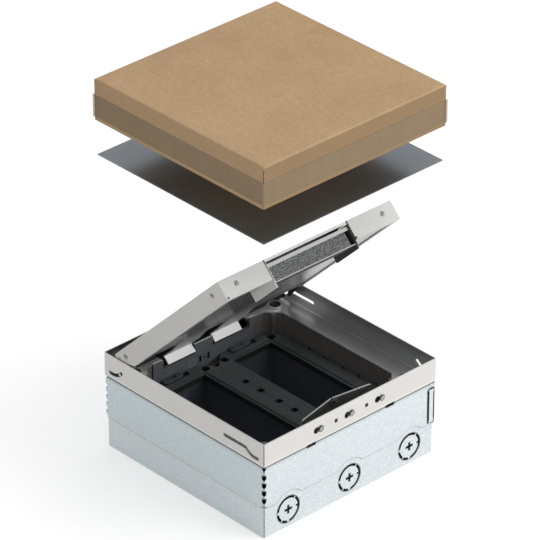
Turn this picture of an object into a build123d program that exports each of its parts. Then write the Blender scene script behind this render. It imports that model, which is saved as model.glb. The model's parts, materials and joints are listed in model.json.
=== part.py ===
from build123d import *
import os
from math import atan2, cos, degrees, hypot, radians, sin, sqrt

os.makedirs("parts", exist_ok=True)

# Driving dimensions in millimetres. The origin is the centre of the underside, and +Z is up.
# The front wall faces -Y and the lid turns about an axis along X near the rear wall.

# Height steps of the closed stack
total_height = 114.0
frame_height = 27.2
flange_thickness = 1.8
collar_height = 49.0
support_depth = 49.5
sheet_lift = 233.4
cover_lift = 274.0

# Stainless frame
frame_side = 243.0
frame_wall = 1.2
frame_corner = 1.6

# Galvanised collar and lower box
collar_inset = 0.5
collar_wall = 1.2
collar_gap = 0.3
box_wall = 1.2
box_height = 74.0
box_relief = 4.0
box_relief_rise = 1.5
box_corner = 1.5
groove_inset = 1.5

# Shaft under the frame
ledge_side = 25.1
ledge_front = 26.0
ledge_rear = 23.5
shaft_chamfer = 14.0
shaft_wall = 1.5
shaft_lip = 5.0
shaft_fit = 0.3
support_height = 8.0
mouth_width = 120.0
mouth_depth = 34.5
mouth_edge_front = 2.0
mouth_edge_rear = 1.2

# Knockouts
knockout_pitch = 86.0
knockout_height = 20.5
knockout_radius = 15.5
knockout_slot = 2.6
knockout_bridge_width = 3.0
knockout_web = 50.0
knockout_web_width = 1.6
knockout_notch = 2.4
knockout_cross = 9.0
knockout_cross_width = 2.2
knockout_arc = 23.0

# Perforated corners and the overlapping corner tab of the collar
bullet_pitch = 9.3
bullet_height = 6.6
bullet_reach = 3.2
bullet_first = 40.9
bullet_count = 5
arrow_bottom = 33.9
arrow_height = 7.9
tab_width = 8.0
tab_height = 42.4
tab_top = 33.6
tab_thickness = 1.2
tab_corner = 4.0
tab_slot = 1.6
tab_gap = 2.0
tab_gap_height = 37.0

# Levelling gear
level_inset = 22.5
level_radius = 4.0
level_fit = 0.05
level_top = 80.0
level_foot_flat = 13.0
level_foot_height = 5.3
level_key = 4.0
sleeve_radius = 6.0
sleeve_fit = 0.2
sleeve_window = 14.0
sleeve_bottom = 46.0
sleeve_rim_radius = 7.75
sleeve_base_radius = 9.75
sleeve_rim_height = 3.0
sleeve_base_height = 1.0
sleeve_mouth_radius = 5.6
sleeve_mouth_depth = 9.0

# Floor fixings
fixing_inset = 39.5
fixing_radius = 3.25

# Headed studs in the keyholes of the front wall
stud_pitch = 43.0
stud_depth = 14.0
stud_head_radius = 3.5
stud_head_height = 1.6
stud_shank_radius = 1.9
stud_fit = 0.15
keyhole_radius = 3.7
keyhole_shift = 6.0
pilot_pitch = 21.5
pilot_size = 3.4

# Groove notches under the frame
groove_notch_pitch = 55.5
groove_notch_width = 12.5
groove_notch_height = 3.3
groove_notch_depth = 1.3

# Lid and its hinge
lid_angle = 44.7
hinge_inset = 13.1
hinge_drop = 2.4
lid_side_gap = 0.8
lid_front_gap = 1.0
lid_rear = -5.1
lid_depth = 22.0
lid_wall = 1.2
lid_flange = 8.0
lid_relief = 2.2
lid_relief_inset = 1.2
lid_plate = 1.2
lid_fit = 0.3
covering_depth = 15.0
covering_rim = 11.0
tail_length = 21.0
tail_rise = 14.0
tail_slit = 6.2
tail_slit_width = 0.8

# Hinge pins and the slots that guide them
pin_radius = 1.5
pin_arm = 18.4
pin_angle = 233.6
slot_width = 4.0
slot_start = 221.6
slot_sweep = 59.7
long_slot_run = 45.4
ear_thickness = 1.2
ear_reach = 30.0
ear_boss = 3.2

# Tongues under the lid
tongue_width = 38.0
tongue_inner_left = 19.0
tongue_inner_right = 8.8
tongue_reach = 10.0
tongue_lip = 9.4
tongue_bend = 3.0
tongue_joggle = 2.2

# Hinge plate at the rear of the shaft
plate_thickness = 1.5
plate_half_width = 72.0
plate_shift = -4.0
plate_top_drop = 23.0
plate_tab_half = 13.0
plate_tab_shift = -4.8
plate_notch_left = -64.0
plate_notch_right = 60.0
plate_slot_pitch = 11.6
plate_slot_shift = -4.3
plate_slot_width = 3.0
plate_slot_length = 7.6
plate_slot_drop = 44.1
plate_hole_radius = 1.2

# Cord outlet in the lid's front edge
outlet_left = -57.5
outlet_right = 56.5
outlet_depth = 46.0
flap_thickness = 2.9
flap_length = 41.0
flap_gap = 0.6
outlet_axis_back = 42.0
outlet_axis_drop = 6.9
outlet_pin_radius = 1.2
outlet_pin_fit = 0.05
arm_thickness = 2.0
arm_boss = 2.4
bar_top_drop = 5.4
bar_height = 3.8
bar_depth = 14.0
foam_height = 15.6
foam_right = 49.5
foam_left = -55.3
sill_height = 1.0
cheek_wall = 1.2
cheek_drop = 31.0
cheek_setback = 1.5
cheek_front = 0.3
cheek_step_drop = 26.2

# Lid screws
lid_screw_radius = 2.9
lid_screw_gap = 0.25
lid_screw_sunk = 0.4
lid_screw_slot = 0.9
lid_screw_drop = 9.2
lid_screw_side_drop = 8.5
lid_screw_left = 19.1
lid_screw_right = 17.7
lid_screw_front = 19.6
lid_screw_rear = 15.9

# Device supports, their trays and latches
seam_gap = 0.4
support_fit = 1.0
support_chamfer = 17.0
support_plate = 3.0
support_skirt = 1.8
support_hole_radius = 4.5
support_hole_inset = 11.0
support_hole_seam = 13.5
support_hole_margin = 14.9
well_inset = 20.5
well_margin = 20.9
well_end_margin = 17.0
well_step = 3.2
well_step_drop = 1.5
well_lip = 1.2
well_lip_drop = 4.5
peg_hole = 1.5
peg_pitch = 2.6
peg_inset = 7.0
peg_row = 42.0
catch_size = 7.0
catch_drop = 3.0
catch_inner = 14.0
catch_outer = 37.5
tray_wall = 1.5
tray_bottom = 10.0
latch_length = 27.0
latch_width = 7.6
latch_travel = 8.0
latch_fit = 0.3
latch_rise = 2.6
latch_shift = -5.8
latch_slit = 1.2
latch_pad = 8.0
latch_pad_rise = 1.2

# Cord guide plates behind the front wall
guide_left_x = -51.0
guide_left_setback = -5.0
guide_right_x = 54.0
guide_right_setback = -1.8
guide_apex_x = 2.2
guide_apex_setback = 5.9
guide_apex_gap = 1.9
guide_thickness = 1.2
guide_top_drop = 12.0
guide_corner = 6.0
clip_length = 9.0
clip_width = 1.6
clip_height = 4.0

# Protection sheet, cardboard cover and its tape
sheet_overlap = 1.4
sheet_thickness = 1.0
cover_overlap = 2.8
cover_height = 46.9
cover_board = 1.2
cover_fold = 2.4
cover_slit = 0.6
tape_top_drop = 18.0
tape_bottom_rise = 4.0
tape_thickness = 0.3
tape_corner = 1.7

# Levels and places that follow from the sizes above
ledge_bottom = total_height - frame_height
ledge_top = ledge_bottom + frame_wall
collar_top = ledge_bottom - flange_thickness
collar_bottom = collar_top - collar_height
support_top = total_height - support_depth
support_bottom = support_top - support_height
shaft_bottom = support_bottom - shaft_wall
mouth_bottom = total_height - mouth_depth
collar_side = frame_side - 2 * collar_inset
groove_side = frame_side - 2 * groove_inset
box_side = collar_side - 2 * (collar_wall + collar_gap)
frame_inner = frame_side / 2 - frame_wall
shaft_width = frame_side - 2 * ledge_side
shaft_rear = frame_side / 2 - ledge_rear
shaft_front = ledge_front - frame_side / 2
shaft_depth = shaft_rear - shaft_front
shaft_centre_y = (shaft_rear + shaft_front) / 2
level_spacing = frame_side - 2 * level_inset
fixing_spacing = box_side - 2 * fixing_inset
hinge_y = frame_side / 2 - hinge_inset
hinge_z = total_height - hinge_drop
stud_z = total_height - stud_depth
lid_top = hinge_drop
lid_under = lid_top - lid_depth
lid_width = 2 * (frame_inner - lid_side_gap)
lid_reach = hinge_y + frame_inner - lid_front_gap
lid_length = lid_reach + lid_rear
support_rear = shaft_rear - plate_thickness - support_fit
support_front = shaft_front + support_fit
support_length = support_rear - support_front
support_middle = (support_rear + support_front) / 2
support_width = (shaft_width - seam_gap) / 2 - support_fit
support_edge = seam_gap / 2 + support_width
well_width = support_edge - well_inset - well_margin
well_length = support_length - 2 * well_end_margin
well_middle = well_inset + well_width / 2
guide_apex_y = shaft_front + guide_apex_setback
sheet_side = frame_side + 2 * sheet_overlap
cover_side = frame_side + 2 * cover_overlap

# Working planes: walls of the box, and the tilted planes of the open lid
tilt = radians(lid_angle)
lid_along = Vector(0, cos(tilt), -sin(tilt))
lid_normal = Vector(0, sin(tilt), cos(tilt))
lid_plane = Plane(origin=(0, hinge_y, hinge_z), x_dir=(1, 0, 0), z_dir=lid_normal)


def level(z):
    """Horizontal plane at height z."""
    return Plane.XY.offset(z)


def front_face(y):
    """Upright plane at depth y that looks to the front, with X to the right and Z up."""
    return Plane(origin=(0, y, 0), x_dir=(1, 0, 0), z_dir=(0, -1, 0))


def side_face(x, y=0.0, z=0.0, turned=False):
    """Upright plane at x with +Y to the right, or -Y when it is turned half round."""
    way = -1 if turned else 1
    return Plane(origin=(x, y, z), x_dir=(0, way, 0), z_dir=(way, 0, 0))


def lid_level(z):
    """Plane parallel to the lid at height z above its hinge axis."""
    return lid_plane.offset(z)


def lid_front(y):
    """Plane square to the lid at y along it, looking to its front edge."""
    origin = lid_plane.from_local_coords((0, y, 0))
    return Plane(origin=origin, x_dir=(1, 0, 0), z_dir=-lid_along)


def lid_side(x):
    """Plane square to the lid at x, with the lid's length to the right and its normal up."""
    origin = lid_plane.from_local_coords((x, 0, 0))
    return Plane(origin=origin, x_dir=lid_along, z_dir=(1, 0, 0))


def shaft_face(growth=0.0):
    """Plan of the shaft: a rectangle with cut corners, grown by the given amount."""
    with BuildSketch() as face:
        with Locations((0, shaft_centre_y)):
            Rectangle(shaft_width, shaft_depth)
        chamfer(face.vertices(), shaft_chamfer)
        if growth:
            offset(amount=growth, kind=Kind.INTERSECTION)
    return face.sketch


def mouth_face(outer):
    """Plan of the openings in front of and behind the shaft, out to the given two reaches."""
    with BuildSketch() as face:
        for edge, way, reach in ((shaft_front, -1, outer[0]), (shaft_rear, 1, outer[1])):
            start = abs(edge) - shaft_wall
            with Locations((0, way * (start + reach) / 2)):
                Rectangle(mouth_width, reach - start)
    return face.sketch


def corner_points(spacing):
    """Four points of a square pattern."""
    return GridLocations(spacing, spacing, 2, 2)


# Lower box: a folded steel tray whose front wall carries three punched knockouts.
with BuildPart() as box_shell:
    with BuildSketch(level(0)):
        RectangleRounded(box_side, box_side, box_corner)
    extrude(amount=box_height)
    with BuildSketch(level(box_wall)):
        Rectangle(box_side - 2 * box_wall, box_side - 2 * box_wall)
    extrude(amount=box_height, mode=Mode.SUBTRACT)
    with BuildSketch(level(collar_bottom + box_relief_rise)):
        with corner_points(box_side):
            Rectangle(2 * box_relief, 2 * box_relief)
    extrude(amount=box_height, mode=Mode.SUBTRACT)
    with Locations(level(box_wall)):
        with corner_points(fixing_spacing):
            Hole(fixing_radius, depth=box_wall)
    with BuildSketch(front_face(-box_side / 2)) as knockouts:
        for column in (-1, 0, 1):
            with Locations((column * knockout_pitch, knockout_height)):
                Circle(knockout_radius)
                Circle(knockout_radius - knockout_slot, mode=Mode.SUBTRACT)
                Rectangle(2 * knockout_radius, knockout_web_width, rotation=knockout_web, mode=Mode.SUBTRACT)
            for reach_x, reach_z in ((-knockout_radius, 0), (0, -knockout_radius)):
                with Locations((column * knockout_pitch + reach_x, knockout_height + reach_z)):
                    Rectangle(knockout_bridge_width if reach_z else 3 * knockout_slot,
                              knockout_bridge_width if reach_x else 3 * knockout_slot, mode=Mode.SUBTRACT)
            notch_x = column * knockout_pitch + knockout_radius - knockout_slot - knockout_notch / 2
            with Locations((notch_x, knockout_height)):
                Rectangle(knockout_notch, knockout_notch)
            with Locations((column * knockout_pitch, knockout_height)):
                for turn in (0, 90):
                    Rectangle(knockout_cross, knockout_cross_width, rotation=turn)
    extrude(amount=-box_wall, mode=Mode.SUBTRACT)
box_shell.part.label = "box_shell"
export_step(box_shell.part, "parts/box_shell.step")

# Four levelling screws that stand on the floor of the box on their hexagon heads and lift the frame.
screw_names = {(-1, -1): "front_left", (1, -1): "front_right", (-1, 1): "rear_left", (1, 1): "rear_right"}
for (side_x, side_y), place in screw_names.items():
    centre_x = side_x * level_spacing / 2
    centre_y = side_y * level_spacing / 2
    with BuildPart() as levelling_screw:
        with BuildSketch(level(box_wall)):
            with Locations((centre_x, centre_y)):
                RegularPolygon(level_foot_flat / 2, 6, major_radius=False)
        extrude(amount=level_foot_height)
        with BuildSketch(level(box_wall + level_foot_height)):
            with Locations((centre_x, centre_y)):
                Circle(level_radius)
        extrude(amount=level_top - box_wall - level_foot_height)
        with BuildSketch(level(level_top)):
            with Locations((centre_x, centre_y)):
                RegularPolygon(level_key / 2, 6, major_radius=False)
        extrude(amount=-level_key, mode=Mode.SUBTRACT)
    levelling_screw.part.label = f"levelling_screw_{place}"
    export_step(levelling_screw.part, f"parts/levelling_screw_{place}.step")

# Collar: a galvanised sleeve that telescopes over the lower box and clears its knockouts.
with BuildPart() as collar:
    with BuildSketch(level(collar_bottom)):
        RectangleRounded(collar_side, collar_side, box_corner)
    extrude(amount=collar_height)
    with BuildSketch(level(collar_bottom)):
        collar_inner = collar_side - 2 * collar_wall
        Rectangle(collar_inner, collar_inner)
    extrude(amount=collar_height - collar_wall, mode=Mode.SUBTRACT)
    with BuildSketch(level(collar_top)):
        add(shaft_face(shaft_wall + shaft_fit))
        collar_reach = collar_side / 2 - collar_wall
        add(mouth_face((collar_reach, collar_reach)))
        with corner_points(level_spacing):
            Rectangle(sleeve_window, sleeve_window)
    extrude(amount=-collar_wall, mode=Mode.SUBTRACT)
    with BuildSketch(front_face(-collar_side / 2)):
        for column in (-1, 0, 1):
            with Locations((column * knockout_pitch, knockout_height)):
                Circle(knockout_arc)
    extrude(amount=-collar_wall, mode=Mode.SUBTRACT)
    with BuildSketch(front_face(-collar_side / 2)):
        for column in (-1, 1):
            notch_z = ledge_bottom - groove_notch_height / 2
            with Locations((column * groove_notch_pitch, notch_z)):
                Rectangle(groove_notch_width, groove_notch_height)
    extrude(amount=-collar_wall, mode=Mode.SUBTRACT)
    for side_x, side_y in ((-1, -1), (-1, 1), (1, 1)):
        corner = Vector(side_x, side_y, 0) * (collar_side / 2)
        half = bullet_reach / sqrt(2)
        with BuildSketch(Plane(origin=corner, x_dir=(-side_y, side_x, 0), z_dir=(side_x, side_y, 0))):
            for row in range(bullet_count):
                middle = total_height - bullet_first - row * bullet_pitch
                with Locations((0, middle)):
                    Polygon((-half, bullet_height / 2), (half, bullet_height / 2),
                            (half, -bullet_height / 4), (0, -bullet_height / 2),
                            (-half, -bullet_height / 4), align=None)
            with Locations((0, total_height - arrow_bottom)):
                Polygon((0, 0), (half, arrow_height / 2), (half, arrow_height),
                        (-half, arrow_height), (-half, arrow_height / 2), align=None)
        extrude(amount=bullet_reach, both=True, mode=Mode.SUBTRACT)
    tab_z = total_height - tab_top - tab_height / 2
    with BuildSketch(front_face(-collar_side / 2)) as tab:
        with Locations((collar_side / 2 - box_corner - tab_width / 2, tab_z)):
            Rectangle(tab_width, tab_height)
        fillet(tab.vertices().group_by(Axis.X)[0], tab_corner)
        with Locations((collar_side / 2 - box_corner - tab_slot, tab_z)):
            Rectangle(tab_slot, tab_height - 2.6 * tab_corner, mode=Mode.SUBTRACT)
    extrude(amount=tab_thickness)
    with BuildSketch(front_face(-collar_side / 2)):
        with Locations((collar_side / 2 - box_corner - tab_width - tab_gap / 2, tab_z)):
            SlotOverall(tab_gap_height, tab_gap, rotation=90)
    extrude(amount=-collar_wall, mode=Mode.SUBTRACT)
collar.part.label = "collar"
export_step(collar.part, "parts/collar.step")

# Shaft: the dark lining under the frame, with a flange above, guide ribs and a lip for the supports.
with BuildPart() as shaft:
    with BuildSketch(level(collar_top)):
        RectangleRounded(groove_side, groove_side, box_corner)
        add(mouth_face((groove_side / 2 - mouth_edge_front, groove_side / 2 - mouth_edge_rear)), mode=Mode.SUBTRACT)
        with corner_points(level_spacing):
            Rectangle(sleeve_window, sleeve_window, mode=Mode.SUBTRACT)
        for column in (-1, 1):
            with Locations((column * groove_notch_pitch, -groove_side / 2)):
                Rectangle(groove_notch_width, 2 * groove_notch_depth, mode=Mode.SUBTRACT)
    extrude(amount=flange_thickness)
    with BuildSketch(level(shaft_bottom)):
        add(shaft_face(shaft_wall))
    extrude(amount=mouth_bottom - shaft_bottom)
    with BuildSketch(level(mouth_bottom)):
        add(shaft_face(shaft_wall))
        Rectangle(mouth_width, 2 * groove_side, mode=Mode.SUBTRACT)
    extrude(amount=ledge_bottom - mouth_bottom)
    with BuildSketch(level(support_bottom)):
        add(shaft_face())
    extrude(amount=ledge_bottom - support_bottom, mode=Mode.SUBTRACT)
    with BuildSketch(level(shaft_bottom)):
        add(shaft_face(-shaft_lip))
    extrude(amount=shaft_wall, mode=Mode.SUBTRACT)
    rib = shaft_wall * 2
    rib_x = shaft_width / 2 - shaft_chamfer / 2
    rib_y = shaft_depth / 2 - shaft_chamfer / 2
    with BuildSketch(level(support_bottom)):
        with Locations((0, shaft_centre_y)):
            with GridLocations(2 * rib_x, 2 * rib_y, 2, 2):
                Circle(rib)
        add(shaft_face(shaft_wall), mode=Mode.INTERSECT)
    extrude(amount=ledge_bottom - support_bottom)
shaft.part.label = "shaft"
export_step(shaft.part, "parts/shaft.step")

# Levelling sleeves: threaded tubes that hang from the frame's ledge round the screws.
with BuildPart() as levelling_sleeves:
    with BuildSketch(level(sleeve_bottom)):
        with corner_points(level_spacing):
            Circle(sleeve_radius)
    extrude(amount=ledge_top - sleeve_bottom)
    with BuildSketch(level(ledge_top)):
        with corner_points(level_spacing):
            Circle(sleeve_base_radius)
    extrude(amount=sleeve_base_height, taper=30)
    with BuildSketch(level(ledge_top)):
        with corner_points(level_spacing):
            Circle(sleeve_rim_radius)
    extrude(amount=sleeve_rim_height)
    with BuildSketch(level(sleeve_bottom)):
        with corner_points(level_spacing):
            Circle(level_radius + level_fit)
    extrude(amount=ledge_top - sleeve_bottom + sleeve_rim_height, mode=Mode.SUBTRACT)
    with BuildSketch(level(ledge_top + sleeve_rim_height)):
        with corner_points(level_spacing):
            Circle(sleeve_mouth_radius)
    extrude(amount=-sleeve_mouth_depth, mode=Mode.SUBTRACT)
levelling_sleeves.part.label = "levelling_sleeves"
export_step(levelling_sleeves.part, "parts/levelling_sleeves.step")


def arc_slot():
    """Slot that follows the pin's path round the lid axis, drawn about that axis."""
    with BuildSketch() as slot:
        with BuildLine(mode=Mode.PRIVATE) as path:
            CenterArc((0, 0), pin_arm, slot_start, slot_sweep)
        SlotArc(path.edges()[0], slot_width)
    return slot.sketch


def long_slot():
    """Pin slot with a level run that lets the lid slide forward off its hinge."""
    run_start = pin_arm * cos(radians(slot_start))
    run_end = -long_slot_run
    with BuildSketch() as slot:
        add(arc_slot())
        with Locations(((run_start + run_end) / 2, pin_arm * sin(radians(slot_start)))):
            SlotCenterToCenter(run_start - run_end, slot_width)
    return slot.sketch


# Frame: the stainless surround with its ledge, lid slots, keyholes and levelling holes.
with BuildPart() as cassette_frame:
    with BuildSketch(level(ledge_bottom)):
        RectangleRounded(frame_side, frame_side, frame_corner)
    extrude(amount=frame_height)
    with BuildSketch(level(ledge_top)):
        Rectangle(2 * frame_inner, 2 * frame_inner)
    extrude(amount=frame_height, mode=Mode.SUBTRACT)
    with BuildSketch(level(ledge_bottom)):
        add(shaft_face())
        add(mouth_face((frame_inner, frame_inner)))
        with corner_points(level_spacing):
            Circle(sleeve_radius + sleeve_fit)
    extrude(amount=frame_wall, mode=Mode.SUBTRACT)
    with BuildSketch(side_face(-frame_side / 2, hinge_y, hinge_z)):
        add(arc_slot())
    extrude(amount=frame_wall, mode=Mode.SUBTRACT)
    with BuildSketch(side_face(frame_side / 2, -hinge_y, hinge_z, turned=True)):
        add(arc_slot())
    extrude(amount=frame_wall, mode=Mode.SUBTRACT)
    with BuildSketch(side_face(frame_side / 2, hinge_y, hinge_z)):
        add(long_slot())
    extrude(amount=-frame_wall, mode=Mode.SUBTRACT)
    with BuildSketch(side_face(-frame_side / 2, -hinge_y, hinge_z, turned=True)):
        add(long_slot())
    extrude(amount=-frame_wall, mode=Mode.SUBTRACT)
    with BuildSketch(front_face(-frame_side / 2)):
        for column in (-1, 0, 1):
            with Locations((column * stud_pitch - keyhole_shift, stud_z)):
                Circle(keyhole_radius)
            with Locations((column * stud_pitch - keyhole_shift / 2, stud_z)):
                SlotCenterToCenter(keyhole_shift, 2 * (stud_shank_radius + stud_fit))
        for column in (-1, 1):
            with Locations((column * pilot_pitch, stud_z)):
                Rectangle(pilot_size, pilot_size)
    extrude(amount=-frame_wall, mode=Mode.SUBTRACT)
cassette_frame.part.label = "cassette_frame"
export_step(cassette_frame.part, "parts/cassette_frame.step")

# Headed studs that sit at the narrow ends of the keyholes.
with BuildPart() as keyhole_studs:
    for column in (-1, 0, 1):
        spot = Location((column * stud_pitch, stud_z))
        with BuildSketch(front_face(-frame_side / 2)):
            with Locations(spot):
                Circle(stud_head_radius)
        extrude(amount=stud_head_height)
        with BuildSketch(front_face(-frame_side / 2)):
            with Locations(spot):
                Circle(stud_shank_radius)
        extrude(amount=-frame_wall)
    chamfer(keyhole_studs.edges().filter_by(GeomType.CIRCLE).group_by(Axis.Y)[0], stud_head_height / 4)
keyhole_studs.part.label = "keyhole_studs"
export_step(keyhole_studs.part, "parts/keyhole_studs.step")

# Hinge plate: dark upright plate at the rear of the shaft, notched for the lid's tongues.
plate_top = total_height - plate_top_drop
with BuildPart() as hinge_plate:
    with BuildSketch(front_face(shaft_rear - plate_thickness)) as plate:
        with Locations((plate_shift, (plate_top + support_bottom) / 2)):
            Rectangle(2 * plate_half_width, plate_top - support_bottom)
        for way, outer in ((-1, plate_notch_left), (1, plate_notch_right)):
            inner = plate_tab_shift + way * plate_tab_half
            with Locations(((inner + outer) / 2, (plate_top + mouth_bottom) / 2)):
                Rectangle(abs(outer - inner), plate_top - mouth_bottom, mode=Mode.SUBTRACT)
            slot_x = plate_slot_shift + way * plate_slot_pitch / 2
            with Locations((slot_x, total_height - plate_slot_drop)):
                Rectangle(plate_slot_width, plate_slot_length, mode=Mode.SUBTRACT)
        with Locations((plate_slot_shift, total_height - plate_slot_drop)):
            Circle(plate_hole_radius, mode=Mode.SUBTRACT)
    extrude(amount=-plate_thickness)
hinge_plate.part.label = "hinge_plate"
export_step(hinge_plate.part, "parts/hinge_plate.step")

# Device supports: two moulded carriers side by side on the shaft's lip.
support_names = {-1: "left", 1: "right"}


def support_face(growth=0.0):
    """Plan of one support with its cut corners, for the right-hand side."""
    with BuildSketch() as face:
        with Locations((seam_gap / 2 + support_width / 2, support_middle)):
            Rectangle(support_width, support_length)
        chamfer(face.vertices(), support_chamfer)
        if growth:
            offset(amount=growth, kind=Kind.INTERSECTION)
    return face.sketch


def well_face(growth=0.0):
    """Plan of the device opening in the right-hand support."""
    with BuildSketch() as face:
        with Locations((well_middle, support_middle)):
            Rectangle(well_width + 2 * growth, well_length + 2 * growth)
    return face.sketch


def latch_pocket(side):
    """Plan of the slot in which a latch slides, on the left (-1) or right (1) support."""
    start = side * well_middle + latch_shift - latch_length / 2 - latch_fit
    length = latch_length + latch_travel + 2 * latch_fit
    with BuildSketch() as face:
        with Locations((start + length / 2, support_rear)):
            Rectangle(length, 2 * (latch_width + latch_fit))
    return face.sketch


for side, place in support_names.items():
    with BuildPart() as socket_support:
        with BuildSketch(level(support_bottom)) as body:
            add(support_face())
            add(support_face(-support_skirt), mode=Mode.SUBTRACT)
            add(well_face(support_skirt))
            add(well_face(), mode=Mode.SUBTRACT)
        extrude(amount=support_height - support_plate)
        with BuildSketch(level(support_top - support_plate)):
            add(support_face())
            add(well_face(), mode=Mode.SUBTRACT)
        extrude(amount=support_plate)
        with BuildSketch(level(support_top)):
            add(well_face(well_step))
        extrude(amount=-well_step_drop, mode=Mode.SUBTRACT)
        with BuildSketch(level(support_top)):
            for row in (support_middle - peg_row, support_middle + peg_row):
                for edge in (well_inset - peg_inset, support_edge - well_margin + peg_inset):
                    with Locations((edge, row)):
                        with GridLocations(0, 2 * peg_pitch, 1, 2):
                            Rectangle(peg_hole, peg_hole)
        extrude(amount=-support_plate, mode=Mode.SUBTRACT)
        with BuildSketch(level(support_bottom)):
            add(well_face(well_lip))
            add(well_face(), mode=Mode.SUBTRACT)
        extrude(amount=support_height - well_lip_drop)
        with BuildSketch(level(support_top)):
            for hole_y in (support_rear - support_hole_inset, support_front + support_hole_inset):
                for hole_x in (support_hole_seam, support_edge - support_hole_margin):
                    with Locations((hole_x, hole_y)):
                        Circle(support_hole_radius)
        extrude(amount=-support_plate, mode=Mode.SUBTRACT)
        with BuildSketch(level(support_top)):
            for row in (-catch_outer, -catch_inner, catch_inner, catch_outer):
                for edge in (0, support_edge):
                    with Locations((edge, row)):
                        Rectangle(catch_size, catch_size)
        extrude(amount=-catch_drop, mode=Mode.SUBTRACT)
        if side < 0:
            mirror(about=Plane.YZ, mode=Mode.REPLACE)
        with BuildSketch(level(support_top)):
            add(latch_pocket(side))
        extrude(amount=-support_plate, mode=Mode.SUBTRACT)
        with BuildSketch(level(support_bottom)):
            pocket_mid = side * well_middle + latch_shift + latch_travel / 2
            pocket_depth = latch_width + latch_fit + support_skirt
            with Locations((pocket_mid, support_rear - pocket_depth / 2)):
                Rectangle(latch_length + latch_travel + 4 * support_skirt, pocket_depth)
        extrude(amount=support_height - support_plate)
    socket_support.part.label = f"socket_support_{place}"
    export_step(socket_support.part, f"parts/socket_support_{place}.step")

    # Deep tray that hangs under the opening and takes the backs of the socket outlets.
    with BuildPart() as device_tray:
        with BuildSketch(level(tray_bottom)):
            with Locations((side * well_middle, support_middle)):
                Rectangle(well_width + 2 * tray_wall, well_length + 2 * tray_wall)
        extrude(amount=support_bottom - tray_bottom)
        with BuildSketch(level(tray_bottom + tray_wall)):
            with Locations((side * well_middle, support_middle)):
                Rectangle(well_width, well_length)
        extrude(amount=support_bottom - tray_bottom, mode=Mode.SUBTRACT)
    device_tray.part.label = f"device_tray_{place}"
    export_step(device_tray.part, f"parts/device_tray_{place}.step")

    # Sliding latch that locks the support under the hinge plate.
    with BuildPart() as support_latch:
        latch_floor = support_top - support_plate
        latch_x = side * well_middle + latch_shift
        latch_y = support_rear - latch_width / 2
        with BuildSketch(level(latch_floor)):
            with Locations((latch_x, latch_y)):
                SlotOverall(latch_length, latch_width)
        extrude(amount=support_plate + latch_rise)
        chamfer(support_latch.edges().group_by(Axis.Z)[-1], latch_rise / 4)
        with BuildSketch(level(support_top + latch_rise)):
            with Locations((latch_x, latch_y)):
                Rectangle(latch_length / 2, latch_slit)
            with Locations((latch_x + latch_length / 4, latch_y + latch_slit)):
                Rectangle(latch_slit, 3 * latch_slit)
        extrude(amount=-latch_rise, mode=Mode.SUBTRACT)
        with BuildSketch(level(support_top + latch_rise)):
            with Locations((latch_x + latch_length / 2 - latch_pad / 2 - latch_rise, latch_y - latch_slit)):
                Rectangle(latch_pad, latch_width / 2)
        extrude(amount=latch_pad_rise)
    support_latch.part.label = f"support_latch_{place}"
    export_step(support_latch.part, f"parts/support_latch_{place}.step")

# Cord guides: two upright plates that meet in a shallow V behind the cord outlet.
guide_top = total_height - guide_top_drop
guide_ends = {"left": (guide_left_x, shaft_front + guide_left_setback, -1),
              "right": (guide_right_x, shaft_front + guide_right_setback, 1)}
for place, (end_x, end_y, way) in guide_ends.items():
    tip_x = guide_apex_x + way * guide_apex_gap / 2
    span = hypot(end_x - tip_x, end_y - guide_apex_y)
    run = Vector(end_x - tip_x, end_y - guide_apex_y, 0).normalized()
    with BuildPart() as cord_guide:
        guide_plane = Plane(origin=(tip_x, guide_apex_y, mouth_bottom), x_dir=run, z_dir=run.cross(Vector(0, 0, 1)))
        with BuildSketch(guide_plane) as blade:
            with Locations((span / 2, (guide_top - mouth_bottom) / 2)):
                Rectangle(span, guide_top - mouth_bottom)
            fillet(blade.vertices().group_by(Axis.Y)[-1].sort_by(Axis.X)[-1], guide_corner)
        extrude(amount=guide_thickness / 2, both=True)
    cord_guide.part.label = f"cord_guide_{place}"
    export_step(cord_guide.part, f"parts/cord_guide_{place}.step")

# Clip that holds the two guide plates together in front of their meeting point.
with BuildPart() as guide_clip:
    clip_y = guide_apex_y + guide_thickness / 2 - clip_length / 2
    with BuildSketch(level(guide_top - clip_height)):
        with Locations((guide_apex_x, clip_y)):
            Rectangle(clip_width, clip_length)
            Rectangle(clip_length, clip_width)
    extrude(amount=clip_height)
guide_clip.part.label = "guide_clip"
export_step(guide_clip.part, "parts/guide_clip.step")

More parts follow.
